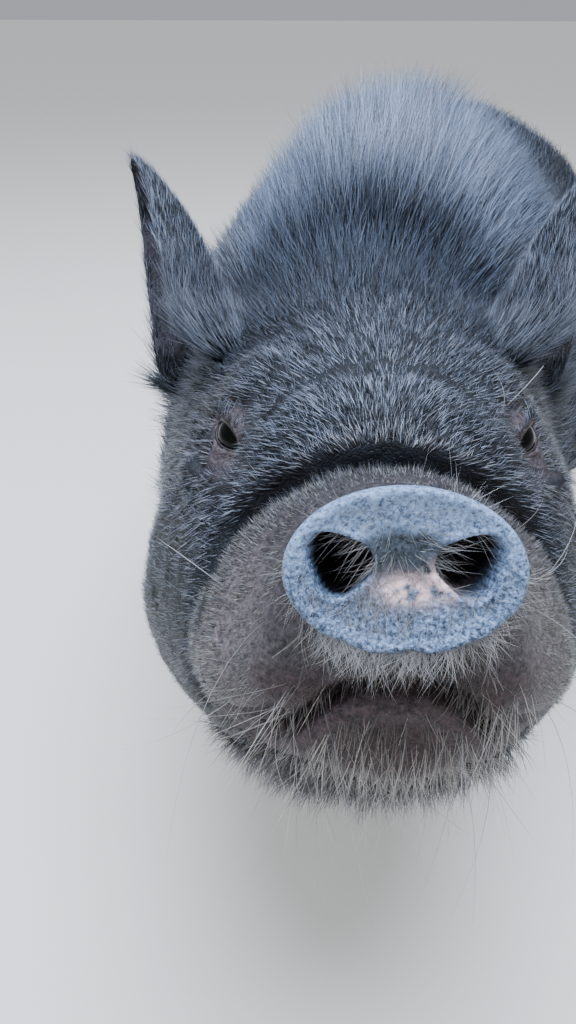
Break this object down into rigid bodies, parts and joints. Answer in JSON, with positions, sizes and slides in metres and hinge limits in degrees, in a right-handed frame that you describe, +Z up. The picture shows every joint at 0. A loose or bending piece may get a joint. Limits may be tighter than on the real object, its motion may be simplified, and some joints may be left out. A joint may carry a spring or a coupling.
{
  "type": "domestic pig",
  "caption": "Life-size still model of a black pot-bellied pig standing on its hooves, snout raised, head turned to one side, ears up, with a bristly crest along the neck and back.",
  "frame": {"origin": "on the floor, under the centre of the whole pig's bounding box", "axes": "+Z up; the body lies along Y with the head at -Y and the tail at +Y; the pig's left side is at +X"},
  "size_m": [0.3694, 0.9763, 0.4653],
  "materials": {
    "hide": "black skin under a sparse black coat of stiff bristles",
    "ear": "thin grey-black skin, nearly bare inside",
    "snout": "moist blue-grey bare skin with a pink patch",
    "eye": "wet, glossy, nearly black",
    "horn": "worn dark horn"
  },
  "bodies": {
    "root": {"head": "hide", "lower_jaw": "hide", "snout_disc": "snout", "neck": "hide", "torso": "hide", "tail": "hide", "eye_left": "eye", "ear_left": "ear", "fore_leg_left": "hide", "claw_fore_left_inner": "horn", "dew_claw_fore_left_inner": "horn", "claw_fore_left_outer": "horn", "dew_claw_fore_left_outer": "horn", "hind_leg_left": "hide", "claw_hind_left_inner": "horn", "dew_claw_hind_left_inner": "horn", "claw_hind_left_outer": "horn", "dew_claw_hind_left_outer": "horn", "eye_right": "eye", "ear_right": "ear", "fore_leg_right": "hide", "claw_fore_right_inner": "horn", "dew_claw_fore_right_inner": "horn", "claw_fore_right_outer": "horn", "dew_claw_fore_right_outer": "horn", "hind_leg_right": "hide", "claw_hind_right_inner": "horn", "dew_claw_hind_right_inner": "horn", "claw_hind_right_outer": "horn", "dew_claw_hind_right_outer": "horn"}
  },
  "joints": []
}
